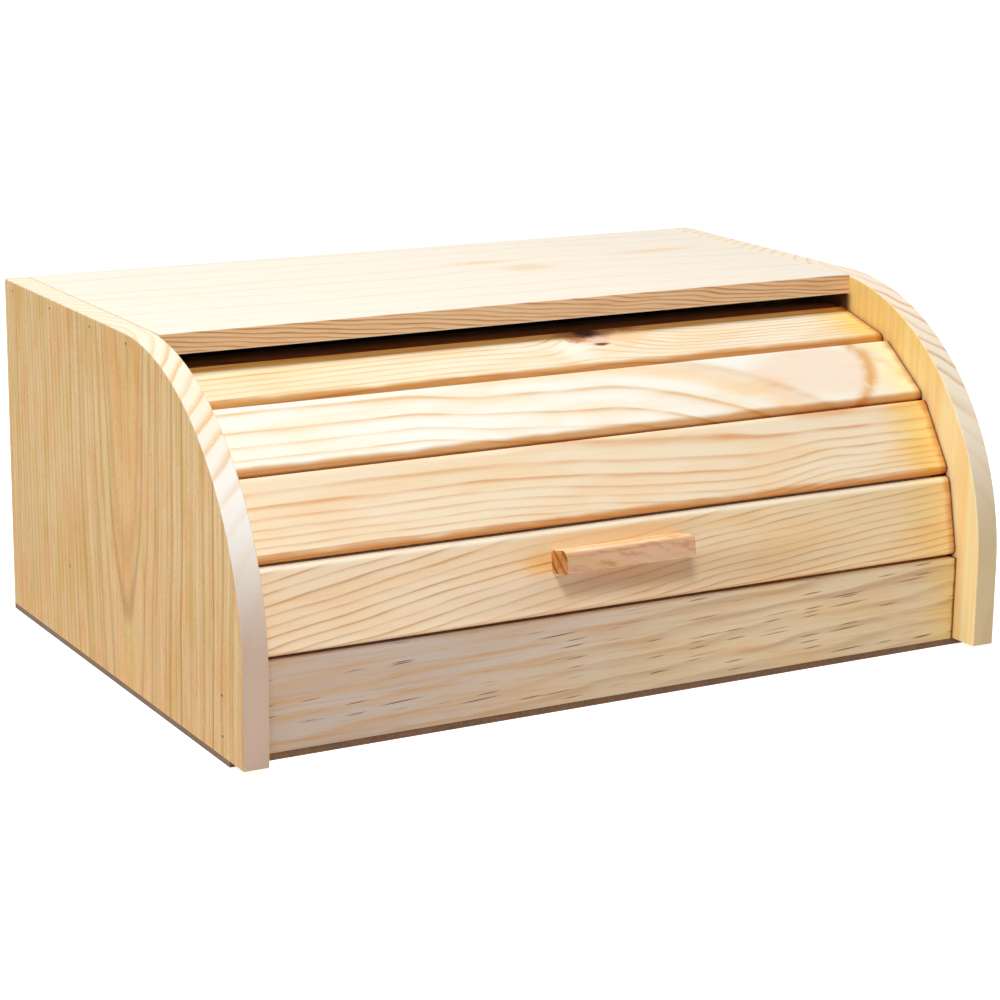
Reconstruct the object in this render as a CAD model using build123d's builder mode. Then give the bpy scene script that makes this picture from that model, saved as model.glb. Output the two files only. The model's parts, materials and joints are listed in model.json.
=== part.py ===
from build123d import *

import os
from math import asin, atan2, cos, degrees, hypot, radians, sin, sqrt, tan

os.makedirs("parts", exist_ok=True)

# A pine bread box with a roll-top door. Millimetres, +Z up, +Y to the back.
# The origin is on the table, below the middle of the box.

# Driving sizes of the case
case_width = 400
side_thickness = 12
side_depth = 281
side_height = 166
corner_radius = 127
top_thickness = 9.7
top_setback = 113
rail_thickness = 12
bottom_thickness = 3.6
back_thickness = 3
panel_inset = 1.0
arris_round = 0.8
top_arris = 0.3

# Driving sizes of the roll-top door. Its slats turn as a ring about the sides' curve.
door_setback = 16
slats_in_view = 4
slats_hidden = 1
slat_thickness = 8
slat_gap = 1.2
slat_round = 3
door_tuck = 6
closed_lift = 2.6
rail_gap = 1.2
tongue_thickness = 4.5
tongue_length = 5
shoulder_gap = 0.5
track_clearance = 0.3
track_end_gap = 0.5
track_runout = 4
seat_clearance = 0.3
canvas_thickness = 0.8
canvas_side_margin = 6
canvas_end_margin = 4

# Driving sizes of the handle
handle_length = 68
handle_height = 10.5
handle_depth = 13.5
handle_sideways = -5
handle_above_middle = 4.6
handle_top_round = 3
handle_edge_round = 1
screw_spacing = 40

# Fasteners: brads of flat wire with a narrow head, and slotted screws
fastener_fit = 0.04
wire_width = 1.2
wire_thickness = 1.0
brad_head_width = 2.0
brad_head_thickness = 0.8
brad_sink = 0.4
board_brad_length = 25
panel_brad_length = 12
screw_radius = 1.5
screw_length = 14
screw_head_radius = 3
screw_head_angle = 90
screw_slot_width = 0.8
screw_slot_depth = 0.8
screw_window_margin = 1.5
point_length = 2

# Where the brads are driven
top_brad_front_margin = 10.5
top_brad_back_margin = 10
top_brad_spread = (0, 0.35, 0.70, 1)
rail_brad_low_margin = 9
rail_brad_high_margin = 13.5
panel_brad_margin = 18
brads_per_edge = 4

# The case, from the sizes above
front_y = -(side_depth + back_thickness) / 2
side_back_y = front_y + side_depth
side_bottom_z = bottom_thickness
side_top_z = side_bottom_z + side_height
inner_half_width = case_width / 2 - side_thickness
axis_y = front_y + corner_radius
axis_z = side_top_z - corner_radius
top_front_y = front_y + top_setback
top_bottom_z = side_top_z - top_thickness
rail_front_y = front_y + door_setback

# The door, from the sizes above. Angles are in degrees up from the front, about the curve's axis.
door_corner_radius = corner_radius - door_setback
top_edge_forward = axis_y - top_front_y
top_edge_up = top_bottom_z - axis_z
top_edge_radius = hypot(top_edge_forward, top_edge_up)
top_edge_angle = degrees(atan2(top_edge_up, top_edge_forward))
first_seam_angle = degrees(asin(closed_lift / door_corner_radius))
last_seam_angle = top_edge_angle + degrees(door_tuck / door_corner_radius)
slat_pitch = (last_seam_angle - first_seam_angle) / slats_in_view
half_pitch = radians(slat_pitch / 2)
slat_count = slats_in_view + slats_hidden
face_radius = door_corner_radius * cos(half_pitch)
inner_radius = face_radius - slat_thickness
tongue_radius = inner_radius + tongue_thickness


def half_width_at(radius):
    """Half the width of a slat at this distance from the door's axis: its edges point at the axis."""
    return radius * tan(half_pitch) - slat_gap / 2 / cos(half_pitch)


def slat_angle(number):
    """The angle of the middle of a slat, counted from 1 at the bottom of the closed door."""
    return first_seam_angle + slat_pitch * (number - 0.5)


# The handle meets the top board's front edge when the door is open.
handle_top = handle_above_middle + handle_height / 2
door_travel = top_edge_angle - slat_angle(1) - degrees(asin((handle_top + seat_clearance) / top_edge_radius))

# The curved track in the sides, wide enough for the corners of the straight tongues
track_inner_radius = inner_radius - track_clearance
track_outer_radius = hypot(tongue_radius, half_width_at(tongue_radius)) + track_clearance
track_width = track_outer_radius - track_inner_radius
track_radius = (track_outer_radius + track_inner_radius) / 2
track_depth = tongue_length + track_end_gap
track_runout_angle = degrees(track_runout / track_radius)
track_end = first_seam_angle + slat_count * slat_pitch + door_travel + track_runout_angle

# The closed door stands on the track's rounded lower ends, which its lowest tongues' outer corners meet.
corner_reach = sqrt(track_clearance * (track_width - track_clearance))
track_start = first_seam_angle + degrees((slat_gap / 2 + corner_reach - seat_clearance) / track_radius)

# The rail stops short of the closed door's lowest edge.
door_lowest_z = axis_z + hypot(inner_radius, half_width_at(inner_radius)) * sin(
    radians(slat_angle(1)) - atan2(half_width_at(inner_radius), inner_radius)
)
rail_top_z = door_lowest_z - rail_gap

# The door's own plane: X points from the axis to the front, Y up, and its normal along the axis
door_plane = Plane(origin=(0, axis_y, axis_z), x_dir=(0, -1, 0), z_dir=(-1, 0, 0))


def slat_plane(number):
    """The door plane turned so that its X axis goes through the middle of a slat."""
    angle = radians(slat_angle(number))
    return Plane(origin=door_plane.origin, x_dir=(0, -cos(angle), sin(angle)), z_dir=door_plane.z_dir)


def evenly(first, last, count):
    """Places from first to last, evenly spaced."""
    return [first + (last - first) * step / (count - 1) for step in range(count)]


# Brads through the sides, as (y, z)
top_brad_back_y = side_back_y - top_brad_back_margin
top_brad_front_y = top_front_y + top_brad_front_margin
top_brad_z = side_top_z - top_thickness / 2
rail_brad_y = rail_front_y + rail_thickness / 2
top_brads = [
    (top_brad_back_y + share * (top_brad_front_y - top_brad_back_y), top_brad_z) for share in top_brad_spread
]
rail_brads = [
    (rail_brad_y, side_bottom_z + rail_brad_low_margin),
    (rail_brad_y, rail_top_z - rail_brad_high_margin),
]

# Brads through the thin boards, as (x, z) on the back panel and (x, y) under the bottom board
side_middle_x = case_width / 2 - side_thickness / 2
row_end_x = inner_half_width - panel_brad_margin
row_x = evenly(-row_end_x, row_end_x, brads_per_edge)
back_row_z = evenly(side_bottom_z + panel_brad_margin, top_bottom_z - panel_brad_margin, brads_per_edge)
bottom_row_start_y = rail_front_y + rail_thickness + panel_brad_margin
bottom_row_y = evenly(bottom_row_start_y, side_back_y - panel_brad_margin, brads_per_edge)

# Planes on the faces that the fasteners are driven into, each with its normal pointing out of the wood
back_face = Plane(origin=(0, side_back_y + back_thickness, 0), x_dir=(-1, 0, 0), z_dir=(0, 1, 0))
back_joint = back_face.offset(-back_thickness)
bottom_face = Plane(origin=(0, 0, 0), x_dir=(-1, 0, 0), z_dir=(0, 0, -1))
bottom_joint = bottom_face.offset(-bottom_thickness)


def side_face(hand, x):
    """A plane square to X that looks out of the case on the left (-1) or right (1)."""
    return Plane(origin=(hand * x, 0, 0), x_dir=(0, hand, 0), z_dir=(hand, 0, 0))


def on_side_face(hand, places):
    """Turns (y, z) places into the coordinates of side_face."""
    return [(hand * y, z) for y, z in places]


def cut_slots(face, places, width, depth):
    """Cuts slots for brads into the board being built: as wide as their wire, or as their heads."""
    with BuildSketch(face) as sketch:
        with Locations(*places):
            Rectangle(width + 2 * fastener_fit, wire_thickness + 2 * fastener_fit)
    extrude(sketch.sketch, amount=-depth, mode=Mode.SUBTRACT)


def make_brad(length):
    """A brad with a chisel point, head up, with the top of its head at the origin."""
    with BuildPart() as brad:
        with BuildSketch(Plane.XZ):
            with BuildLine():
                half_outline = Polyline(
                    (0, 0),
                    (brad_head_width / 2, 0),
                    (brad_head_width / 2, -brad_head_thickness),
                    (wire_width / 2, -brad_head_thickness),
                    (wire_width / 2, point_length - length),
                    (0, -length),
                )
                mirror(half_outline, about=Plane.YZ)
            make_face()
        extrude(amount=wire_thickness / 2, both=True)
    return brad.part


def drive_brads(length, face, places):
    """Copies of a brad, sunk a little below a face at these places."""
    brad = make_brad(length)
    with BuildPart() as brads:
        with Locations(face.offset(-brad_sink)):
            with Locations(*places):
                add(brad)
    return brads.part


# The back panel and the bottom board are held along both sides, and to the top board and the rail.
back_side_places = {hand: [(-hand * side_middle_x, z) for z in back_row_z] for hand in (-1, 1)}
back_top_places = [(x, top_brad_z) for x in row_x]
back_places = back_side_places[-1] + back_side_places[1] + back_top_places
bottom_side_places = {hand: [(-hand * side_middle_x, y) for y in bottom_row_y] for hand in (-1, 1)}
bottom_rail_places = [(x, rail_brad_y) for x in row_x]
bottom_places = bottom_side_places[-1] + bottom_side_places[1] + bottom_rail_places

# How deep the slots for the heads and for the wire go
head_pocket_depth = brad_sink + brad_head_thickness
board_brad_bore = brad_sink + board_brad_length - side_thickness
back_brad_bore = brad_sink + panel_brad_length - back_thickness
bottom_brad_bore = brad_sink + panel_brad_length - bottom_thickness

# The curved middle line of the track, in the door's plane
track_line = CenterArc((0, 0), track_radius, track_start, track_end - track_start)

# The two side boards: curved at the top front corner, with the track cut in their inner faces
for hand, side_name in ((-1, "left_side"), (1, "right_side")):
    with BuildPart() as side:
        with BuildSketch(Plane.YZ.offset(hand * inner_half_width)):
            with BuildLine():
                Line((side_back_y, side_bottom_z), (front_y, side_bottom_z))
                Line((front_y, side_bottom_z), (front_y, axis_z))
                CenterArc((axis_y, axis_z), corner_radius, 180, -90)
                Line((axis_y, side_top_z), (side_back_y, side_top_z))
                Line((side_back_y, side_top_z), (side_back_y, side_bottom_z))
            make_face()
        extrude(amount=hand * side_thickness)
        outline = side.edges().filter_by(Axis.X, reverse=True)
        fillet(outline - outline.group_by(Axis.Z)[0] - outline.group_by(Axis.Y)[-1], arris_round)
        with BuildSketch(door_plane.offset(-hand * inner_half_width)):
            SlotArc(track_line, track_width)
        extrude(amount=-hand * track_depth, mode=Mode.SUBTRACT)
        outer_face = side_face(hand, case_width / 2)
        side_places = on_side_face(hand, top_brads + rail_brads)
        cut_slots(outer_face, side_places, wire_width, side_thickness)
        cut_slots(outer_face, side_places, brad_head_width, head_pocket_depth)
        cut_slots(back_joint, back_side_places[hand], wire_width, back_brad_bore)
        cut_slots(bottom_joint, bottom_side_places[hand], wire_width, bottom_brad_bore)
    side.part.label = side_name
    export_step(side.part, f"parts/{side_name}.step")

# The top board, with a sharp front edge that stands just proud of the sides' curve
with BuildPart() as top_board:
    with BuildSketch(Plane.YZ.offset(-inner_half_width)):
        with Locations((top_front_y, top_bottom_z)):
            Rectangle(side_back_y - top_front_y, top_thickness, align=(Align.MIN, Align.MIN))
    extrude(amount=2 * inner_half_width)
    chamfer(top_board.edges().filter_by(Axis.X).group_by(Axis.Y)[0], top_arris)
    for hand in (-1, 1):
        board_end = side_face(hand, inner_half_width)
        cut_slots(board_end, on_side_face(hand, top_brads), wire_width, board_brad_bore)
    cut_slots(back_joint, back_top_places, wire_width, back_brad_bore)
top_board.part.label = "top_board"
export_step(top_board.part, "parts/top_board.step")

# The rail across the front, which the closed door rests on
with BuildPart() as front_rail:
    with BuildSketch(Plane.YZ.offset(-inner_half_width)):
        with Locations((rail_front_y, side_bottom_z)):
            Rectangle(rail_thickness, rail_top_z - side_bottom_z, align=(Align.MIN, Align.MIN))
    extrude(amount=2 * inner_half_width)
    fillet(front_rail.edges().filter_by(Axis.X).group_by(Axis.Z)[-1], arris_round)
    for hand in (-1, 1):
        board_end = side_face(hand, inner_half_width)
        cut_slots(board_end, on_side_face(hand, rail_brads), wire_width, board_brad_bore)
    cut_slots(bottom_joint, bottom_rail_places, wire_width, bottom_brad_bore)
front_rail.part.label = "front_rail"
export_step(front_rail.part, "parts/front_rail.step")

# The thin bottom board, held under the sides and the rail by short brads
with BuildPart() as bottom_board:
    with BuildSketch(Plane.XY):
        with Locations((0, rail_front_y + panel_inset)):
            Rectangle(
                case_width - 2 * panel_inset,
                side_back_y + back_thickness - rail_front_y - panel_inset,
                align=(Align.CENTER, Align.MIN),
            )
    extrude(amount=bottom_thickness)
    cut_slots(bottom_face, bottom_places, wire_width, bottom_thickness)
    cut_slots(bottom_face, bottom_places, brad_head_width, head_pocket_depth)
bottom_board.part.label = "bottom_board"
export_step(bottom_board.part, "parts/bottom_board.step")

# The thin back panel, held to the backs of the sides and the top board
with BuildPart() as back_panel:
    with BuildSketch(back_joint):
        with Locations((0, side_bottom_z)):
            Rectangle(
                case_width - 2 * panel_inset,
                side_height - panel_inset,
                align=(Align.CENTER, Align.MIN),
            )
    extrude(amount=back_thickness)
    cut_slots(back_face, back_places, wire_width, back_thickness)
    cut_slots(back_face, back_places, brad_head_width, head_pocket_depth)
back_panel.part.label = "back_panel"
export_step(back_panel.part, "parts/back_panel.step")

# The screws pass through the first slat into the handle.
first_slat = slat_plane(1)
first_slat_inside = Plane(
    origin=first_slat.from_local_coords((inner_radius, 0, 0)), x_dir=(-1, 0, 0), z_dir=-first_slat.x_dir
)
first_slat_face = first_slat_inside.offset(-slat_thickness)
screw_places = [(hand * screw_spacing / 2 - handle_sideways, handle_above_middle) for hand in (-1, 1)]

# The slats of the door: edges that point at the axis, rounded front corners, and a tongue at each end
for number in range(1, slat_count + 1):
    with BuildPart() as slat:
        with BuildSketch(slat_plane(number)) as section:
            with BuildLine():
                Polyline(
                    (inner_radius, -half_width_at(inner_radius)),
                    (face_radius, -half_width_at(face_radius)),
                    (face_radius, half_width_at(face_radius)),
                    (inner_radius, half_width_at(inner_radius)),
                    close=True,
                )
            make_face()
            fillet(section.vertices().group_by(Axis.X)[-1], slat_round)
        extrude(amount=inner_half_width - shoulder_gap, both=True)
        with BuildSketch(slat_plane(number)):
            with BuildLine():
                Polyline(
                    (inner_radius, -half_width_at(inner_radius)),
                    (tongue_radius, -half_width_at(tongue_radius)),
                    (tongue_radius, half_width_at(tongue_radius)),
                    (inner_radius, half_width_at(inner_radius)),
                    close=True,
                )
            make_face()
        extrude(amount=inner_half_width + tongue_length, both=True)
        if number == 1:
            with Locations(first_slat_inside):
                with Locations(*screw_places):
                    CounterSinkHole(
                        screw_radius + fastener_fit,
                        screw_head_radius + fastener_fit,
                        slat_thickness,
                        screw_head_angle,
                    )
    slat.part.label = f"slat_{number}"
    export_step(slat.part, f"parts/slat_{number}.step")


def door_point(number, radius, along):
    """A point of the door's plane, by its distance out from the axis and up from a slat's middle."""
    angle = radians(slat_angle(number))
    return (radius * cos(angle) - along * sin(angle), radius * sin(angle) + along * cos(angle))


def canvas_line(radius):
    """The canvas's edge at this distance from the axis, bent at each seam between two slats."""
    reach = half_width_at(inner_radius) - canvas_end_margin
    seam_reach = radius * tan(half_pitch)
    bends = [door_point(number, radius, seam_reach) for number in range(1, slat_count)]
    return [door_point(1, radius, -reach)] + bends + [door_point(slat_count, radius, reach)]


# The canvas glued across the backs of the slats, which holds them together as a door
with BuildPart() as canvas_backing:
    with BuildSketch(door_plane):
        with BuildLine():
            outside = canvas_line(inner_radius)
            inside = canvas_line(inner_radius - canvas_thickness)
            Polyline(*outside, *reversed(inside), close=True)
        make_face()
    extrude(amount=inner_half_width - canvas_side_margin, both=True)
    with BuildSketch(first_slat_inside):
        with Locations(*screw_places):
            Circle(screw_head_radius + screw_window_margin)
    extrude(amount=2 * canvas_thickness, mode=Mode.SUBTRACT)
canvas_backing.part.label = "canvas_backing"
export_step(canvas_backing.part, "parts/canvas_backing.step")

# The handle: a plain bar on the first slat, with its top front edge well rounded
with BuildPart() as handle:
    with BuildSketch(first_slat.offset(-handle_sideways)) as section:
        with Locations((face_radius, handle_above_middle)):
            Rectangle(handle_depth, handle_height, align=(Align.MIN, Align.CENTER))
        fillet(section.vertices().group_by(Axis.X)[-1].sort_by(Axis.Y)[-1], handle_top_round)
        fillet(section.vertices().group_by(Axis.X)[-1].sort_by(Axis.Y)[0], handle_edge_round)
    extrude(amount=handle_length / 2, both=True)
    with Locations(first_slat_face):
        with Locations(*screw_places):
            Hole(screw_radius + fastener_fit, screw_length - slat_thickness + seat_clearance)
handle.part.label = "handle"
export_step(handle.part, "parts/handle.step")

# The two slotted screws that hold the handle
with BuildPart() as screw:
    with BuildSketch(Plane.XZ):
        with BuildLine():
            Polyline(
                (0, 0),
                (screw_head_radius, 0),
                (screw_radius, (screw_radius - screw_head_radius) / tan(radians(screw_head_angle / 2))),
                (screw_radius, point_length - screw_length),
                (0, -screw_length),
                close=True,
            )
        make_face()
    revolve(axis=Axis.Z)
    Box(
        2 * screw_head_radius,
        screw_slot_width,
        screw_slot_depth,
        align=(Align.CENTER, Align.CENTER, Align.MAX),
        mode=Mode.SUBTRACT,
    )
with BuildPart() as handle_screws:
    with Locations(first_slat_inside):
        with Locations(*screw_places):
            add(screw.part)
handle_screws.part.label = "handle_screws"
export_step(handle_screws.part, "parts/handle_screws.step")

# The brads through the sides
for hand, side_name in ((-1, "left"), (1, "right")):
    for board_name, places in (("top", top_brads), ("rail", rail_brads)):
        brads = drive_brads(board_brad_length, side_face(hand, case_width / 2), on_side_face(hand, places))
        brads.label = f"{side_name}_{board_name}_brads"
        export_step(brads, f"parts/{brads.label}.step")

# The short brads through the thin boards
panels = (("back_panel", back_face, back_places), ("bottom_board", bottom_face, bottom_places))
for board_name, face, places in panels:
    brads = drive_brads(panel_brad_length, face, places)
    brads.label = f"{board_name}_brads"
    export_step(brads, f"parts/{brads.label}.step")
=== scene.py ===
# %% [markdown]
# # A pine bread box with a roll-top door
#
# The real box is raw pine: two curved side boards, a top board, a rail, and a door of slats that rolls back
# under the top. The measured shapes come from the CAD model, and this file gives them their looks.
# It loads the shapes first.

import json
from math import cos, pi, radians, sin, tan

import bmesh
import bpy
from mathutils import Matrix, Vector


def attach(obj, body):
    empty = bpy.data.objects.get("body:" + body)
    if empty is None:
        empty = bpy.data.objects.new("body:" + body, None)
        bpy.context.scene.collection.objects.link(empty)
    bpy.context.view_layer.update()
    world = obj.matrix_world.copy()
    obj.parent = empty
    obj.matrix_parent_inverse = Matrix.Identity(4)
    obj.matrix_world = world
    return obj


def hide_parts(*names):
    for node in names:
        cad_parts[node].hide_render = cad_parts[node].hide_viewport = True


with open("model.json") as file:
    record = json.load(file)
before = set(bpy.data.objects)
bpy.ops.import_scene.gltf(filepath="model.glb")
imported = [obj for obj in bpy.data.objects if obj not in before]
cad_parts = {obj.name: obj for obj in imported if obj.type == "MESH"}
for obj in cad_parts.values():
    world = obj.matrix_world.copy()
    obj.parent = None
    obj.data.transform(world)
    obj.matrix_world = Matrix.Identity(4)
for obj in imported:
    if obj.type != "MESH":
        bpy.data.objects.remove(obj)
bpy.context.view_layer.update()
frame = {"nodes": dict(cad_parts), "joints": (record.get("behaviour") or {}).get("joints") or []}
nodes = frame["nodes"]
print("pieces in the frame:", len(nodes))

# %% [markdown]
# ## The camera
#
# The camera stands where the photograph was taken from, in front of the box, to its left and a little above.
# It is written as a direction, a distance and a tilt, because these can be compared with the photograph one
# at a time. Its lens is long, so that the box's far edges hardly get smaller.

# %% Place the camera
camera_azimuth = radians(-29.591)
camera_elevation = radians(14.339)
camera_roll = radians(0.778)
camera_distance = 1.323544
camera_target = Vector((-0.010098, -0.022, 0.072381))
lens_length = 98.53

backward = Vector((
    sin(camera_azimuth) * cos(camera_elevation),
    -cos(camera_azimuth) * cos(camera_elevation),
    sin(camera_elevation),
))
level = Vector((0, 0, 1)).cross(backward).normalized()
upright = backward.cross(level)
rightward = level * cos(camera_roll) + upright * sin(camera_roll)
upward = upright * cos(camera_roll) - level * sin(camera_roll)

lens = bpy.data.cameras.new("camera")
lens.sensor_width = 36
lens.lens = lens_length
lens.clip_end = 100
camera = bpy.data.objects.new("camera", lens)
turn = Matrix((rightward, upward, backward)).transposed().to_4x4()
camera.matrix_world = Matrix.Translation(camera_target + backward * camera_distance) @ turn
bpy.context.scene.collection.objects.link(camera)
bpy.context.scene.camera = camera
bpy.context.scene.view_settings.view_transform = "Standard"
print("camera at", [round(value, 3) for value in camera.matrix_world.translation])

# %% [markdown]
# ## Writing materials as sums
#
# Wood is a solid: its rings run through the whole board, and each face shows a cut through them. So the
# patterns here are sums on a point's place in the board. Written as nodes these sums would be long, so a
# small class wraps a node's output and lets Python's own signs add the Math nodes. A board's pattern is
# measured in millimetres, and every other length in this file is in metres.

# %% Wires and shaders
millimetre = 0.001


class Wire:
    """A node's output that Python sums can use."""

    def __init__(self, shader, socket):
        self.shader = shader
        self.socket = socket

    def __add__(self, other):
        return self.shader.math("ADD", self, other)

    def __sub__(self, other):
        return self.shader.math("SUBTRACT", self, other)

    def __rsub__(self, other):
        return self.shader.math("SUBTRACT", other, self)

    def __mul__(self, other):
        return self.shader.math("MULTIPLY", self, other)

    def __truediv__(self, other):
        return self.shader.math("DIVIDE", self, other)

    __radd__ = __add__
    __rmul__ = __mul__


class Shader:
    """The nodes of a material or of the sky."""

    def __init__(self, owner):
        owner.use_nodes = True
        self.owner = owner
        self.tree = owner.node_tree
        self.surface = self.tree.nodes[0]

    def plug(self, socket, value):
        if isinstance(value, Wire):
            self.tree.links.new(value.socket, socket)
        else:
            socket.default_value = value

    def add(self, kind, inputs, **settings):
        """Adds a node, its settings first, and returns a wire for each of its outputs."""
        made = self.tree.nodes.new(kind)
        for name, value in settings.items():
            setattr(made, name, value)
        for name, value in inputs.items():
            self.plug(made.inputs[name], value)
        return [Wire(self, socket) for socket in made.outputs]

    def math(self, operation, *values):
        return self.add("ShaderNodeMath", dict(enumerate(values)), operation=operation)[0]

    def ease(self, value, start, end):
        """Goes smoothly from 0 at start to 1 at end."""
        inputs = {"Value": value, "From Min": start, "From Max": end}
        return self.add("ShaderNodeMapRange", inputs, interpolation_type="SMOOTHSTEP")[0]

    def bell(self, value, middle, width):
        """1 at the middle, falling to about a third at width from it."""
        away = (value - middle) / width
        return self.math("EXPONENT", away * away * -1)

    def reach(self, x, y):
        """The length of the step (x, y)."""
        return self.math("SQRT", x * x + y * y)

    def spot(self, x, y, middle, size, soft=0.4):
        """1 inside an oval with this middle and half size, and 0 past its soft rim."""
        away = self.reach((x - middle[0]) / size[0], (y - middle[1]) / size[1])
        return self.ease(away, 1 + soft, 1 - soft)

    def noise(self, x, y, z, detail=2.0):
        """Soft random values around 0.5, each about one unit across."""
        place = self.add("ShaderNodeCombineXYZ", {"X": x, "Y": y, "Z": z})[0]
        return self.add("ShaderNodeTexNoise", {"Vector": place, "Scale": 1.0, "Detail": detail})[0]

    def mix(self, share, first, second):
        """Goes from the first colour to the second as share goes from 0 to 1."""
        return self.add("ShaderNodeMix", {0: share, 6: first, 7: second}, data_type="RGBA")[2]

    def tint(self, colour, share, stain):
        """Multiplies a colour by a stain, by as much as share says."""
        inputs = {0: share, 6: colour, 7: stain}
        return self.add("ShaderNodeMix", inputs, data_type="RGBA", blend_type="MULTIPLY")[2]

    def board(self, origin, along, across):
        """Distances in millimetres: along a board's grain, across its face, and out of its face."""
        out = Vector(along).cross(Vector(across))
        turned = Matrix((along, across, out)).transposed().to_euler()
        place = self.add("ShaderNodeTexCoord", {})[3]
        inputs = {"Vector": place, "Location": origin, "Rotation": turned, "Scale": [millimetre] * 3}
        own = self.add("ShaderNodeMapping", inputs, vector_type="TEXTURE")[0]
        return self.add("ShaderNodeSeparateXYZ", {"Vector": own})


def new_material(name):
    return Shader(bpy.data.materials.new(name))


def paint(red, green, blue):
    """A colour as a paint program shows it, each part from 0 to 255, made linear."""
    shares = [value / 255 for value in (red, green, blue)]
    return [s / 12.92 if s <= 0.04045 else ((s + 0.055) / 1.055) ** 2.4 for s in shares] + [1]


# %% [markdown]
# ## Pine
#
# A growth ring of pine starts pale in spring, darkens slowly, and ends in a thin dark line. A board's
# `ring` number counts these rings, and each board works out its own, because its lines run its own way.
# What all boards share is here: the ring's dark line, which comes late in the ring, fine fibres along the
# grain, soft patches of warmer wood, and the short dark threads of resin canals. The sums could feed a
# colour ramp instead, but mixing named colours keeps each finish readable.

# %% Rings, fibres and resin threads
fibre_stain = paint(244, 216, 182)
patch_stain = paint(255, 246, 234)
thread_stain = paint(140, 104, 70)
line_place = 0.88


def growth_line(shader, ring, line_width):
    """How dark a growth ring is: a thin line at its end, and the slow darkening before it."""
    whole = shader.math("FLOOR", ring)
    part = ring - whole
    strength = shader.add("ShaderNodeTexWhiteNoise", {"W": whole}, noise_dimensions="1D")[0]
    thin_line = shader.bell(part, line_place, line_width)
    darkening = shader.ease(part, 0.3, line_place) * shader.ease(part, 1.0, 0.9)
    return (thin_line * 0.6 + darkening * darkening * 0.4) * (0.55 + 0.45 * strength)


def threads(shader, u, v, w, length, width, amount):
    """Short dark dashes along the grain, where their cells' random values are below amount."""
    place = shader.add("ShaderNodeCombineXYZ", {"X": u / length, "Y": v / width, "Z": w / width})[0]
    cells = shader.add("ShaderNodeTexVoronoi", {"Vector": place, "Scale": 1.0})
    chosen = shader.add("ShaderNodeSeparateColor", {"Color": cells[1]})[0]
    return shader.ease(cells[0], 0.36, 0.12) * shader.ease(chosen, amount, amount - 0.05)


def pine_grain(shader, grain, ring, early, late, line_width=0.12, fibre_share=0.3):
    """The colour of planed pine, and the height of its grain."""
    u, v, w = grain
    fading = shader.noise(u / 40, v / 7, w / 7, 1.0)
    line = growth_line(shader, ring, line_width) * (0.5 + shader.ease(fading, 0.3, 0.65) * 0.7)
    fine = shader.noise(u / 14, v / 0.45, w / 0.45, 3.0)
    streak = shader.noise(u / 70, v / 2.2, w / 2.2)
    patch = shader.noise(u / 60, v / 16, w / 16)
    colour = shader.mix(line, early, late)
    colour = shader.tint(colour, shader.ease(fine, 0.5, 0.8) * fibre_share, fibre_stain)
    colour = shader.tint(colour, shader.ease(streak, 0.48, 0.72) * fibre_share, fibre_stain)
    colour = shader.tint(colour, shader.ease(patch, 0.42, 0.66), patch_stain)
    return colour, line * 0.6 + fine * 0.4


def finish_pine(shader, colour, height):
    """Raw planed pine: nearly matt, with grain that can just be felt."""
    shader.plug(shader.surface.inputs["Base Color"], colour)
    shader.plug(shader.surface.inputs["Roughness"], 0.74 - height * 0.12)
    shader.surface.inputs["Specular IOR Level"].default_value = 0.3
    bump = shader.add("ShaderNodeBump", {"Strength": 0.25, "Distance": 0.0002, "Height": height})[0]
    shader.plug(shader.surface.inputs["Normal"], bump)
    return shader.owner


def dress(name, material):
    """Gives a CAD node a material."""
    nodes[name].data.materials.clear()
    nodes[name].data.materials.append(material)
    print(name, "has", material.name)


# %% [markdown]
# ## The side boards
#
# Each side stands with its grain upright. On the left one the rings open into a narrow arch that points
# down, as they do where a board is cut nearly along the trunk. The middle of the trunk was outside the
# board and leaned a little, so the distance from that leaning line, divided by the width of a ring, counts
# the rings. The same sum makes the slanting streaks on the sides' curved edges, which are strongest round
# the corner. Those edges have four colours: on top, along the curve, at the foot, and the streaks' own. The
# inner faces are plain, amber wood, and dark in the shade under the top board.

# %% Side board material
axis = Vector(frame["joints"][0]["pos_m"])
case_half_width = 0.2
corner_radius = 127
side_thickness = 12
top_underside = 160
pith_depth = 60
pith_lean = 0.03
arch_spread = 1.3
side_ring_width = 9

side_early = paint(255, 226, 171)
side_late = paint(188, 132, 78)
side_low = paint(240, 236, 232)
side_warm = paint(255, 243, 232)
side_green = paint(246, 245, 222)
arch_heart = paint(253, 243, 232)
inner_early = paint(255, 236, 182)
inner_late = paint(255, 214, 142)
inner_high = paint(251, 240, 210)
inner_shade = paint(96, 66, 38)


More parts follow.
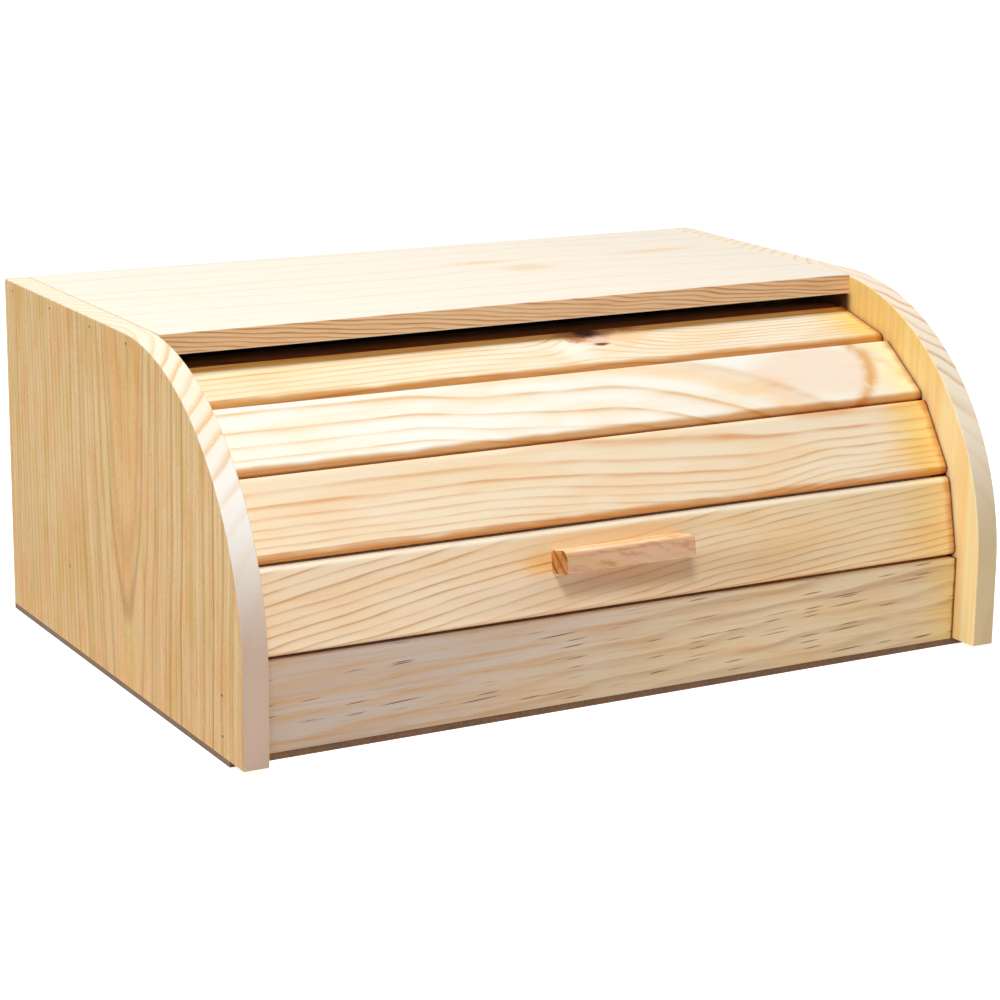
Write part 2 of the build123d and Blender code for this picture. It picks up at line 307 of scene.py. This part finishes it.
def make_side(name, hand, pith_across, arch_foot, edge_colours):
    """A side board's new material, its distances, its colour and the height of its grain."""
    edge_top, edge_high, edge_low, edge_streak = edge_colours
    shader = new_material(name)
    u, v, w = shader.board((hand * case_half_width, 0, 0), (0, 0, 1), (0, -hand, 0))
    wave = shader.noise(u / 70, v / 25, w / 25, 1.0) - 0.5
    sideways = v - pith_across + wave * 4
    climb = u - arch_foot
    distance = pith_depth - w - climb * pith_lean - shader.ease(climb, -5, 60) * arch_spread
    radius = shader.reach(sideways, distance)
    ring = (radius - pith_depth) / side_ring_width + line_place
    outside = shader.ease(radius, pith_depth, pith_depth + 3)
    coarse = growth_line(shader, ring, 0.05) * shader.ease(v, 90, 0) * outside
    close = growth_line(shader, ring * 2.3, 0.1) * (0.3 + 0.7 * outside)
    arch = shader.bell(radius, pith_depth, 0.35) + shader.bell(radius, pith_depth - 1.6, 0.5) * 0.4
    arch = arch * shader.ease(climb, -10, 0)
    marks = coarse * 0.55 + close * 0.42 + arch * 0.48
    fine = shader.noise(u / 12, v / 0.7, w / 0.7, 3.0)
    streak = shader.noise(u / 160, v / 2.6, w / 2.6)
    warm = shader.noise(u / 45, v / 16, w / 16)
    green = shader.noise(u / 70, v / 12 + 40, w / 12)
    fleck = shader.noise(u / 2.2, v / 0.7, w / 0.7)

    face = shader.mix(marks, side_early, side_late)
    face = shader.tint(face, shader.ease(streak, 0.42, 0.68) * 0.45, fibre_stain)
    face = shader.tint(face, shader.ease(fine, 0.45, 0.75) * 0.6, fibre_stain)
    face = shader.tint(face, shader.ease(radius, pith_depth, pith_depth - 1.5), arch_heart)
    face = shader.tint(face, shader.ease(fleck, 0.45, 0.75) * 0.7, fibre_stain)
    face = shader.tint(face, shader.ease(warm, 0.45, 0.65), side_warm)
    face = shader.tint(face, shader.ease(green, 0.46, 0.66), side_green)
    face = shader.tint(face, shader.ease(u, 130, 0), side_low)

    forward = shader.math("MAXIMUM", v * hand + axis.y / millimetre, 0)
    above = shader.math("MAXIMUM", u - axis.z / millimetre, 0)
    on_edge = shader.ease(shader.reach(forward, above), corner_radius - 0.9, corner_radius - 0.3)
    edge = shader.mix(shader.ease(u, 48, 115), edge_low, edge_high)
    edge = shader.mix(shader.ease(u, 118, 150), edge, edge_top)
    edge_line = growth_line(shader, ring * 1.3 + wave, 0.2) * (0.1 + fine)
    near_corner = shader.ease(u, 103, 136) * (0.4 + shader.ease(u, 170, 164) * 0.6)
    edge = shader.tint(edge, edge_line * (0.3 + near_corner * 1.2), edge_streak)
    colour = shader.mix(on_edge, face, edge)

    inside = shader.mix(shader.ease(streak, 0.3, 0.7) * 0.8, inner_early, inner_late)
    inside = shader.tint(inside, shader.ease(u, 110, 145), inner_high)
    # Painted shade where the inner faces run in under the top board.
    below_top = shader.ease(u, 144, 152) * shader.ease(u, top_underside, top_underside - 1)
    inside = shader.mix(below_top * shader.ease(v * hand, 32, 27), inside, inner_shade)
    on_inside = shader.ease(w, 0.5 - side_thickness, 0.15 - side_thickness)
    colour = shader.mix(on_inside, colour, inside)
    return shader, (u, v, w), colour, marks * 0.5 + fine * 0.5


# %% Left side
left_edge = [paint(255, 237, 212), paint(255, 249, 240), paint(206, 178, 158), paint(240, 204, 156)]
pale_fleck = paint(255, 230, 190)
dark_fleck = paint(120, 74, 40)
shader, grain, colour, height = make_side(
    "pine_left_side", hand=-1, pith_across=-14, arch_foot=40, edge_colours=left_edge
)
u, v, w = grain
colour = shader.mix(shader.spot(v, u, (71, 149), (1, 1)) * 0.6, colour, pale_fleck)
colour = shader.mix(shader.spot(v, u, (59, 43), (0.8, 1.2)) * 0.7, colour, dark_fleck)
dress("left_side", finish_pine(shader, colour, height))

# %% Right side
right_edge = [paint(255, 238, 214), paint(255, 239, 213), paint(219, 194, 153), paint(226, 192, 166)]
shader, grain, colour, height = make_side(
    "pine_right_side", hand=1, pith_across=22, arch_foot=50, edge_colours=right_edge
)
dress("right_side", finish_pine(shader, colour, height))

# %% [markdown]
# ## The slats
#
# The door's slats are flat-sawn: dark lines run along them and bend where the tree had a knot or a hollow.
# Each slat's ring number starts from the height on its face, and a few smooth hills and slopes push the
# lines up or down. It also changes with the depth in the board, by `ring_tilt`, so the lines run on over
# the rounded edges, where an image of wood would be smeared. Along each slat's lower edge the rounding has a
# darker band that is partly darker wood and partly painted shade. The slats' right ends have painted amber
# light from the right side, a ragged rim that is partly stain and partly painted shade, and painted shade
# where they meet it. The fourth slat has the top board's shadow painted along its upper edge, and the
# lowest has a painted shadow below its handle, a painted reflection beside it and a painted highlight along
# its upper edge.

# %% Slat axes
slat_pitch = 21.237
lowest_slat_angle = 11.961
slat_face_radius = 0.1091
ring_tilt = 0.7
# Partly darker wood and partly painted shade, for the slats' lower edges.
lower_edge_wood_and_shade = paint(228, 180, 130)
# Painted shade where the slats' ends meet the right side.
painted_end_shade = paint(150, 104, 62)


def start_slat(name, number):
    """A new material, and the distances along a slat, up its face and out of its face."""
    shader = new_material(name)
    angle = radians(lowest_slat_angle + slat_pitch * (number - 1))
    out = Vector((0, -cos(angle), sin(angle)))
    grain = shader.board(axis + out * slat_face_radius, (1, 0, 0), (0, sin(angle), cos(angle)))
    return shader, grain


def lower_edge(shader, grain, colour, height=-16.5, share=1.0):
    """The band along a slat's lower edge: partly darker wood, partly painted shade."""
    u, v, w = grain
    wander = (shader.noise(u / 40, 0, 0) - 0.5) * 5
    return shader.tint(colour, shader.ease(v + wander, height + 1.4, height - 1.4) * share, lower_edge_wood_and_shade)


def right_end(shader, grain, colour, start, amber, rim):
    """The right end of a slat: painted amber light from the right side, a ragged rim that is partly stain and
    partly painted shade, and painted shade where it meets the side.
    """
    u, v, w = grain
    wander = (shader.noise(u / 26, v / 6, w / 6, 3.0) - 0.5) * 22
    colour = shader.tint(colour, shader.ease(u + wander, start, start + 26), amber)
    colour = shader.tint(colour, shader.ease(u + wander * 0.25, 182, 187) * 0.75, rim)
    return shader.tint(colour, shader.ease(u + wander * 0.05, 186, 187.4), painted_end_shade)


# %% Slat 1, with the handle
beige_left = paint(255, 230, 198)
beige_right = paint(252, 222, 176)
tan_line = paint(218, 174, 122)
peach = paint(255, 218, 164)
# Painted light: yellow thrown onto the right end from the right side.
painted_bounce_yellow = paint(255, 252, 224)
# Partly stain and partly painted shade, for the slats' right rims.
rim_stain_and_shade = paint(206, 146, 84)
# Painted reflection beside the handle.
painted_reflection_amber = paint(255, 232, 190)
# Painted highlight along the upper edge.
painted_highlight_rim = paint(255, 244, 220)
# Painted shadow below the handle.
painted_handle_shadow = paint(236, 232, 232)

shader, grain = start_slat("pine_slat_1", 1)
u, v, w = grain
slope = 0.115 * u - 0.045 * shader.math("SQRT", u * u + 40 ** 2)
wave = shader.noise(u / 60, v / 14, w / 14, 1.0) - 0.5
hollow = shader.bell(u, -5, 35) * shader.bell(v, 12, 10) * 5
ring = (v - slope + w * ring_tilt + wave * 4 + hollow) / (4.6 - shader.ease(u, -20, 60))
base = shader.mix(shader.ease(u, -120, 160), beige_left, beige_right)
colour, height = pine_grain(shader, grain, ring, base, tan_line, 0.1, 0.2)
colour = shader.mix(shader.spot(u, v, (-4, 13), (44, 5), 0.8) * 0.6, colour, peach)
# Painted reflection to the left of the handle.
colour = shader.tint(colour, shader.spot(u, v, (-45, 4), (8, 5), 0.8), painted_reflection_amber)
# Painted shadow of the handle, in two ovals below it.
for middle, size in (((20, -10), (90, 10)), ((-3, -5), (38, 6))):
    colour = shader.tint(colour, shader.spot(u, v, middle, size, 0.6), painted_handle_shadow)
# Painted highlight along the slat's upper rounded edge.
colour = shader.mix(shader.ease(v, 15.5, 18) * 0.8, colour, painted_highlight_rim)
colour = lower_edge(shader, grain, colour, -18.5, 0.4)
colour = right_end(shader, grain, colour, 150, painted_bounce_yellow, rim_stain_and_shade)
dress("slat_1", finish_pine(shader, colour, height))

# %% Slat 2, with lines that dip on the right
cream_beige = paint(255, 235, 203)
warm_line = paint(234, 184, 136)
# Painted amber light at the right ends, thrown from the right side.
painted_bounce_amber = paint(255, 240, 176)

shader, grain = start_slat("pine_slat_2", 2)
u, v, w = grain
dip = shader.ease(u, -70, 72) * 9 - shader.ease(u, 76, 130) * 5
wave = shader.noise(u / 50, v / 12, w / 12, 1.0) - 0.5
lifted = v + dip + w * ring_tilt + wave * 3
ring = (lifted * 0.2 - lifted * lifted * 0.003) * (1 + shader.ease(u, 60, 140) * 0.35)
colour, height = pine_grain(shader, grain, ring, cream_beige, warm_line, 0.15, 0.2)
colour = lower_edge(shader, grain, colour, -17)
colour = right_end(shader, grain, colour, 152, painted_bounce_amber, rim_stain_and_shade)
dress("slat_2", finish_pine(shader, colour, height))

# %% Slat 3, with lines that fall away to the right
pale_cream = paint(255, 251, 238)
soft_line = paint(238, 204, 160)
soft_tan = paint(255, 234, 206)
pink_island = paint(255, 240, 230)
blotch_brown = paint(236, 196, 144)
# Painted yellow light at the right end, thrown from the right side.
painted_bounce_bright = paint(255, 252, 216)

shader, grain = start_slat("pine_slat_3", 3)
u, v, w = grain
past = shader.math("MAXIMUM", u - v * 1.1 + 58, 0)
step_down = shader.ease(u, -90, -45) * 5 - shader.ease(u, -15, 25) * 3.5
wave = shader.noise(u / 60, v / 14, w / 14, 1.0) - 0.5
lifted = v + past * past * 0.0011 + step_down + w * ring_tilt + wave * 1.5
ring = 2.557 + 0.113 * lifted - 0.0012 * lifted * lifted
colour, height = pine_grain(shader, grain, ring, pale_cream, soft_line, 0.08, 0.12)
wide_band = shader.ease(lifted, 18, 23) * shader.ease(lifted, 30, 25)
colour = shader.tint(colour, wide_band * 0.8, soft_tan)
colour = shader.tint(colour, shader.spot(u, v, (132, 3), (34, 16), 0.3), pink_island)
colour = lower_edge(shader, grain, colour, -17)
away = u + (v - 6) * (v - 6) * 0.026 - 167 + (shader.noise(u / 12, v / 9, w / 9) - 0.5) * 6
ring_blotch = shader.bell(away, 0, 4) * shader.ease(shader.noise(u / 9, v / 9, w / 9), 0.2, 0.55)
colour = shader.tint(colour, ring_blotch, blotch_brown)
colour = right_end(shader, grain, colour, 160, painted_bounce_bright, rim_stain_and_shade)
dress("slat_3", finish_pine(shader, colour, height))

# %% [markdown]
# ## The knot
#
# The fourth slat has a knot at its upper edge, where a branch grew. The rings climb round it, so a hill in
# the slat's ring sum lifts them there, steep on the left and long on the right. The branch itself is a few
# ovals, from its pink heart to its nearly black bark. Each has a middle, a half size, the softness of its
# rim, its share and its colour, and a later one covers those before it.

# %% Slat 4, with the knot
light_cream = paint(247, 233, 196)
light_pink = paint(251, 239, 214)
straw_line = paint(224, 186, 130)
# Painted shadow of the top board.
painted_top_board_shadow = paint(212, 166, 104)
knot_middle = 31
knot_white = paint(255, 252, 238)
knot_halo = paint(206, 146, 96)
knot_heart = paint(240, 204, 182)
knot_bark = paint(52, 26, 18)
knot_brown = paint(130, 76, 42)
knot_rust = paint(196, 116, 76)
flame_orange = paint(252, 204, 146)

shader, grain = start_slat("pine_slat_4", 4)
u, v, w = grain
hill_width = 22 + shader.ease(u, knot_middle - 6, knot_middle + 8) * 18
away = (u - knot_middle) / hill_width
hill = shader.math("EXPONENT", away * away * -1) * shader.bell(v, 14, 24) * 17
wave = shader.noise(u / 55, v / 12, w / 12, 1.0) - 0.5
lifted = v - hill - 0.035 * (u + 150) * shader.ease(u, 10, -60) + wave * 3 + w * ring_tilt
ring = (lifted + (lifted + 25) * 0.6 * shader.ease(u, 10, 60)) / 5.2
base = shader.mix(shader.ease(u, -150, 0), light_cream, light_pink)
colour, height = pine_grain(shader, grain, ring, base, straw_line, 0.13, 0.2)
# Painted shadow of the top board's front edge on the slat's upper part.
colour = shader.tint(colour, shader.ease(v + wave, 10, 12.5), painted_top_board_shadow)
colour = lower_edge(shader, grain, colour, -17)
ragged = shader.noise(u / 4, v / 2.4, w / 2.4, 3.0) - 0.5
x = u + ragged * 6
y = v + ragged * 5
knot_ovals = [
    ((17, -3), (9, 9), 0.8, 0.7, knot_white),
    ((50, 7), (12, 7), 0.8, 0.7, flame_orange),
    ((31, 13), (11, 9), 0.5, 0.85, knot_halo),
    ((53, 16), (9, 2.4), 0.6, 0.7, knot_brown),
    ((30, 15), (15, 6), 0.5, 0.75, knot_brown),
    ((35, 6.5), (5.5, 4), 0.4, 1, knot_heart),
    ((32, 16), (6.5, 6), 0.5, 1, knot_bark),
    ((34, 1.5), (4, 1.6), 0.5, 1, knot_brown),
    ((23, 8), (4, 2.4), 0.5, 0.8, knot_rust),
]
for middle, size, soft, share, oval_colour in knot_ovals:
    colour = shader.mix(shader.spot(x, y, middle, size, soft) * share, colour, oval_colour)
colour = right_end(shader, grain, colour, 156, painted_bounce_amber, rim_stain_and_shade)
dress("slat_4", finish_pine(shader, colour, height))

# %% Slat 5, hidden behind the top board
# It is never seen in full light, and the photograph shows black where it must be, so its colours are painted
# shade, nearly black.
shade_early = paint(140, 100, 62)
shade_late = paint(96, 62, 36)

shader, grain = start_slat("pine_slat_5", 5)
u, v, w = grain
wave = shader.noise(u / 60, v / 12, w / 12, 1.0) - 0.5
ring = (v + u * 0.06 + w * ring_tilt + wave * 6) / 4.6
colour, height = pine_grain(shader, grain, ring, shade_early, shade_late)
dress("slat_5", finish_pine(shader, lower_edge(shader, grain, colour), height))

# %% [markdown]
# ## The top board, the rail and the handle
#
# The top board is sawn nearly flat to its rings: its face is almost white, with a few faint lines that rise
# near three pale knots. Its planed front edge has been handled and is brown, and narrow, wavy lines run
# along it. The rail is greyer, with soft lines and many resin threads. The handle's rings cut its ends as
# slanting dark stripes, and only soft clouds show along it.

# %% Top board
top_front_y = -29
top_thickness = 9.7
top_white = paint(249, 239, 223)
top_line = paint(244, 222, 190)
top_knot = paint(240, 202, 154)
edge_brown = paint(240, 200, 156)
edge_dark = paint(184, 132, 90)
# Painted highlight for the front edge's lower arris.
painted_arris_highlight = paint(248, 226, 200)

shader = new_material("pine_top_board")
grain = shader.board((0, 0, nodes["top_board"].bound_box[6][2]), (1, 0, 0), (0, 1, 0))
u, v, w = grain
wave = shader.noise(u / 110, v / 30, w / 9, 1.0) - 0.5
rise = shader.bell(u, 70, 60) * shader.bell(v, 66, 40) * 14
ring = (v - rise + wave * 16 + u * 0.04) / 19
line = shader.ease(growth_line(shader, ring, 0.04), 0.2, 0.7)
fine = shader.noise(u / 30, v / 1.2, w / 1.2, 3.0)
colour = shader.mix(line * 0.8, top_white, top_line)
colour = shader.tint(colour, shader.ease(fine, 0.5, 0.8) * 0.25, fibre_stain)
height = line * 0.6 + fine * 0.4
for knot, size in (((34, 82), (15, 4)), ((50, 58), (13, 7)), ((140, 78), (20, 4))):
    colour = shader.mix(shader.spot(u, v + fine * 6 - 3, knot, size, 0.9) * 0.6, colour, top_knot)
ripple = shader.noise(u / 40, w / 10, 0, 1.0) - 0.5
narrow_ring = (w + u * 0.085 + ripple * 4) / 2.1
bands = shader.noise(u / 30, w / 1.6 + u / 20, 0, 2.0)
front = shader.mix(growth_line(shader, narrow_ring, 0.2) * (0.5 + bands), edge_brown, edge_dark)
front = shader.tint(front, shader.ease(bands, 0.45, 0.7) * 0.5, fibre_stain)
# Painted highlight along the lower arris of the front edge.
front = shader.mix(shader.ease(w, 0.9 - top_thickness, 0.3 - top_thickness) * 0.7, front, painted_arris_highlight)
colour = shader.mix(shader.ease(v, top_front_y + 0.35, top_front_y + 0.1), colour, front)
dress("top_board", finish_pine(shader, colour, height))

# %% Front rail
rail_pink = paint(204, 186, 172)
rail_straw = paint(232, 209, 172)
rail_late = paint(206, 174, 140)
rail_front_foot = (0, -0.126, 0.0036)

shader = new_material("pine_front_rail")
grain = shader.board(rail_front_foot, (1, 0, 0), (0, 0, 1))
u, v, w = grain
wave = shader.noise(u / 70, v / 16, w / 16, 1.0) - 0.5
ring = (v * 0.8 - u * 0.05 + w * 0.6 + wave * 8) / 7
base = shader.mix(shader.ease(u - v * 2, -160, 40), rail_pink, rail_straw)
colour, height = pine_grain(shader, grain, ring, base, rail_late, 0.3, 0.5)
rising = v - u * 0.05
dashes = threads(shader, u, rising, w, 40, 1.0, 0.13) + threads(shader, u + 9, rising + 3, w, 22, 0.9, 0.16)
colour = shader.tint(colour, dashes, thread_stain)
# Painted yellow light at the rail's right end, thrown from the right side.
colour = right_end(shader, grain, colour, 160, painted_bounce_yellow, painted_bounce_yellow)
dress("front_rail", finish_pine(shader, colour, height))

# %% Handle
handle_front = paint(228, 188, 156)
handle_cloud = paint(236, 216, 204)
# Painted highlight for the handle's top face.
handle_top_painted_light = paint(255, 228, 188)
handle_late = paint(140, 88, 34)
handle_end_stain = paint(246, 214, 160)
handle_middle = (-5, 4.6)
handle_half_length = 34
stripe_slant = 0.86
stripe_spacing = 7.4

shader, grain = start_slat("handle_pine", 1)
u, v, w = grain
ring = (w + (v - handle_middle[1]) * stripe_slant) / stripe_spacing + line_place
# The handle's top face is painted lighter than its front, as a highlight.
base = shader.mix(shader.ease(v, 8.0, 9.4), handle_front, handle_top_painted_light)
colour, height = pine_grain(shader, grain, u * 0.01 + v * 0.04, base, tan_line, 0.1, 0.8)
cloud = shader.noise(u / 9, v / 2.5 + u / 12, w / 2.5, 3.0)
colour = shader.tint(colour, shader.ease(cloud, 0.45, 0.7), handle_cloud)
from_middle = shader.math("ABSOLUTE", u - handle_middle[0])
on_end = shader.ease(from_middle, handle_half_length - 0.4, handle_half_length - 0.05)
colour = shader.tint(colour, on_end, handle_end_stain)
colour = shader.mix(growth_line(shader, ring, 0.13) * on_end * 1.5, colour, handle_late)
dress("handle", finish_pine(shader, colour, height))

# %% [markdown]
# ## The thin boards
#
# The bottom and the back are hardboard: pressed brown wood fibre, smooth and slightly shiny on its face.

# %% Hardboard
hardboard_brown = paint(128, 90, 54)
hardboard_dark = paint(108, 74, 44)
hardboard_hair = paint(212, 184, 148)

shader = new_material("hardboard")
u, v, w = shader.board((0, 0, 0), (1, 0, 0), (0, 1, 0))
mottle = shader.noise(u / 14, v / 14, w / 14, 6.0)
hairs = shader.noise(u / 1.1, v / 1.1, w / 1.1, 3.0)
colour = shader.mix(shader.ease(mottle, 0.25, 0.75), hardboard_brown, hardboard_dark)
colour = shader.tint(colour, shader.ease(hairs, 0.45, 0.75), hardboard_hair)
shader.plug(shader.surface.inputs["Base Color"], colour)
shader.plug(shader.surface.inputs["Roughness"], 0.45 + hairs * 0.2)
dress("bottom_board", shader.owner)
dress("back_panel", shader.owner)

# %% [markdown]
# ## The fasteners
#
# The brads are dull steel wire, and the two screws behind the handle are zinc plated.

# %% Steel
dull_steel = paint(158, 128, 96)
worn_steel = paint(120, 90, 62)
zinc_bright = paint(206, 206, 200)
zinc_dull = paint(168, 170, 168)


def make_metal(name, bright, dull, roughness):
    """Plain metal with a fine, uneven bloom."""
    shader = new_material(name)
    u, v, w = shader.board((0, 0, 0), (1, 0, 0), (0, 1, 0))
    bloom = shader.noise(u / 1.5, v / 1.5, w / 1.5, 3.0)
    shader.plug(shader.surface.inputs["Base Color"], shader.mix(bloom, bright, dull))
    shader.plug(shader.surface.inputs["Roughness"], roughness + bloom * 0.2)
    shader.surface.inputs["Metallic"].default_value = 1
    return shader.owner


brad_steel = make_metal("brad_steel", dull_steel, worn_steel, 0.4)
for name in nodes:
    if name.endswith("_brads"):
        dress(name, brad_steel)
dress("handle_screws", make_metal("screw_zinc", zinc_bright, zinc_dull, 0.25))

# %% [markdown]
# ## The canvas
#
# The slats are held together by a sheet of cotton canvas, glued flat across their backs. It hangs from
# nothing and cannot sag, so it is modelled directly: one flat strip for each slat's back, joined to the next
# at the seam, where the bend is then rounded. Two round windows leave the handle's screws free. A cloth
# simulation would only push it against the slats that it is glued to.

# %% Canvas sheet
slat_count = 5
slat_thickness = 0.008
glue_gap = 0.0001
canvas_thickness = 0.0005
canvas_half_width = 0.182
canvas_end_margin = 0.004
slat_gap = 0.0012
bend_round = 0.0015
window_radius = 0.0045
window_middles = (-0.025, 0.015)
window_height = 0.0046
window_sides = 16
square_half_width = window_radius * 1.5
whole_sheet = 1
sorting_slant = Vector((1, 2.3, 5.9))

canvas_radius = slat_face_radius - slat_thickness - glue_gap
half_pitch = radians(slat_pitch / 2)
canvas_reach = canvas_radius * tan(half_pitch)
canvas_end = canvas_reach - slat_gap / 2 - canvas_end_margin


def door_place(number, along, x):
    """A place on the back of a slat, by the distance up from the slat's middle."""
    angle = radians(lowest_slat_angle + slat_pitch * (number - 1))
    out = Vector((0, -cos(angle), sin(angle)))
    up = Vector((0, sin(angle), cos(angle)))
    return axis + out * canvas_radius + up * along + Vector((x, 0, 0))


shape = bmesh.new()
places = [door_place(1, -canvas_end, -canvas_half_width)]
places += [door_place(number, canvas_reach, -canvas_half_width) for number in range(1, slat_count)]
places += [door_place(slat_count, canvas_end, -canvas_half_width)]
left = [shape.verts.new(place) for place in places]
right = [shape.verts.new(place + Vector((2 * canvas_half_width, 0, 0))) for place in places]
for corners in zip(left, left[1:], right[1:], right):
    shape.faces.new(corners)
bends = [edge for edge in shape.edges if len(edge.link_faces) == 2]
bmesh.ops.bevel(
    shape, geom=bends, offset=bend_round, segments=3, profile=0.5, affect="EDGES", material=-1
)
print("canvas faces before the windows:", len(shape.faces))

# %% [markdown]
# Each window is cut by planes round its middle, as a knife would go round a template. Four cuts across the
# whole sheet frame it first, so that the short ones after them stay in a small square. The faces inside
# them all then go. Cutting can leave the faces in another order each run, so they are sorted at the end,
# along a slanting line.

# %% Cut the canvas's windows
slat_up = (door_place(1, 1, 0) - door_place(1, 0, 0)).normalized()
across = Vector((1, 0, 0))


def cut(centre, direction, distance, reach):
    """Cuts the faces within reach of a centre along a plane at this distance from it.

    The parts are a dict's keys, because these keep their order, so each run makes the same mesh.
    """
    near = [face for face in shape.faces if (face.calc_center_median() - centre).length < reach]
    parts = dict.fromkeys(part for face in near for part in (face, *face.edges, *face.verts))
    bmesh.ops.bisect_plane(
        shape, geom=list(parts), plane_co=centre + direction * distance, plane_no=direction, dist=1e-7
    )


for middle in window_middles:
    centre = door_place(1, window_height, middle)
    for direction in (across, -across, slat_up, -slat_up):
        cut(centre, direction, square_half_width, whole_sheet)
    for step in range(window_sides):
        turn_round = 2 * pi * step / window_sides
        cut(centre, across * cos(turn_round) + slat_up * sin(turn_round), window_radius, window_radius * 2)
    hole = [face for face in shape.faces if (face.calc_center_median() - centre).length < window_radius]
    bmesh.ops.delete(shape, geom=hole, context="FACES")

weave_map = shape.loops.layers.uv.new("weave")
for face in shape.faces:
    for loop in face.loops:
        from_axis = loop.vert.co - axis
        angle = -slat_up.angle(from_axis) + pi / 2
        loop[weave_map].uv = (loop.vert.co.x, canvas_radius * angle)
bmesh.ops.recalc_face_normals(shape, faces=shape.faces)
shape.faces.sort(key=lambda face: face.calc_center_median().dot(sorting_slant))
canvas_mesh = bpy.data.meshes.new("canvas")
shape.to_mesh(canvas_mesh)
shape.free()
canvas = bpy.data.objects.new("canvas", canvas_mesh)
bpy.context.scene.collection.objects.link(canvas)
body = canvas.modifiers.new("thickness", "SOLIDIFY")
body.thickness = canvas_thickness
body.offset = 1
print("canvas", len(canvas_mesh.polygons), "faces", [round(size, 4) for size in canvas.dimensions])

# %% Canvas weave
canvas_pale = paint(232, 226, 208)
canvas_shade = paint(196, 186, 160)
thread_pitch = 0.0007

shader = new_material("canvas_weave")
place = shader.add("ShaderNodeUVMap", {}, uv_map="weave")[0]
warp, weft, flat = shader.add("ShaderNodeSeparateXYZ", {"Vector": place})
warp_wave = shader.math("SINE", warp * (2 * pi / thread_pitch))
weft_wave = shader.math("SINE", weft * (2 * pi / thread_pitch))
weave = warp_wave * weft_wave * 0.5 + 0.5
slub = shader.noise(warp * 60, weft * 1400, 0, 3.0)
colour = shader.mix(weave * 0.5 + shader.ease(slub, 0.4, 0.8) * 0.4, canvas_pale, canvas_shade)
shader.plug(shader.surface.inputs["Base Color"], colour)
shader.surface.inputs["Roughness"].default_value = 0.9
bump = shader.add("ShaderNodeBump", {"Strength": 0.5, "Distance": 0.0002, "Height": weave})[0]
shader.plug(shader.surface.inputs["Normal"], bump)
canvas_mesh.materials.append(shader.owner)

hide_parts("canvas_backing")
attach(canvas, "door")

# %% [markdown]
# ## The light
#
# The photograph's light is soft and comes from above, a little behind the box: the top is nearly white, the
# front gets darker towards its foot, and the top board's front edge throws a short shadow on the door. One
# lamp does that. Another in front, to the left, throws the handle's soft shadow, and an even sky fills the
# rest.

# %% Lamps and sky
sky_strength = 0.2
scene_middle = Vector((0, 0, 0.1))


def hang_lamp(name, direction, distance, size, share):
    """A round lamp that gives a surface facing it this share of white."""
    direction = Vector(direction).normalized()
    light = bpy.data.lights.new(name, "AREA")
    light.shape = "DISK"
    light.size = size
    light.energy = share * pi ** 2 * distance ** 2
    lamp = bpy.data.objects.new(name, light)
    lamp.location = scene_middle + direction * distance
    lamp.rotation_euler = direction.to_track_quat("Z", "Y").to_euler()
    bpy.context.scene.collection.objects.link(lamp)
    print(name, round(light.energy, 2), "W")


hang_lamp("overhead_lamp", (-0.22, 0.16, 1), distance=1.4, size=0.32, share=0.54)
hang_lamp("front_lamp", (-0.35, -0.6, 0.75), distance=1.8, size=0.4, share=0.41)


def seen_directly(shader):
    """1 where a ray from the camera, a reflection or clear glass ends, and 0 for the light on things."""
    rays = {wire.socket.name: wire for wire in shader.add("ShaderNodeLightPath", {})}
    plain_or_mirrored = shader.math("MAXIMUM", rays["Is Camera Ray"], rays["Is Glossy Ray"])
    return shader.math("MAXIMUM", plain_or_mirrored, rays["Is Transmission Ray"])


sky = Shader(bpy.data.worlds.new("sky"))
bpy.context.scene.world = sky.owner
background = sky.tree.nodes["Background"]
background.inputs["Color"].default_value = (1, 1, 1, 1)
sky.plug(background.inputs["Strength"], seen_directly(sky) * (1 - sky_strength) + sky_strength)

# %% [markdown]
# ## The floor
#
# The floor is a wide white table that is lit from below as well, like the table in the photograph. Its matt
# surface keeps the box's soft shadow, and its glow lights the box's lower parts from the front. Seen
# directly, it glows more, so that it is as white as the sky behind it.

# %% Floor
floor_half_width = 25
floor_glow = 0.15
floor_seen_glow = 0.83
floor_white = (0.9, 0.9, 0.9, 1)

shape = bmesh.new()
bmesh.ops.create_grid(shape, x_segments=1, y_segments=1, size=floor_half_width)
floor_mesh = bpy.data.meshes.new("floor")
shape.to_mesh(floor_mesh)
shape.free()
floor = bpy.data.objects.new("floor", floor_mesh)
bpy.context.scene.collection.objects.link(floor)

shader = new_material("floor_white")
matt = shader.add("ShaderNodeBsdfDiffuse", {"Color": floor_white})[0]
strength = seen_directly(shader) * (floor_seen_glow - floor_glow) + floor_glow
glow = shader.add("ShaderNodeEmission", {"Strength": strength})[0]
both = shader.add("ShaderNodeAddShader", {0: matt, 1: glow})[0]
output = shader.tree.nodes["Material Output"]
shader.plug(output.inputs["Surface"], both)
floor_mesh.materials.append(shader.owner)
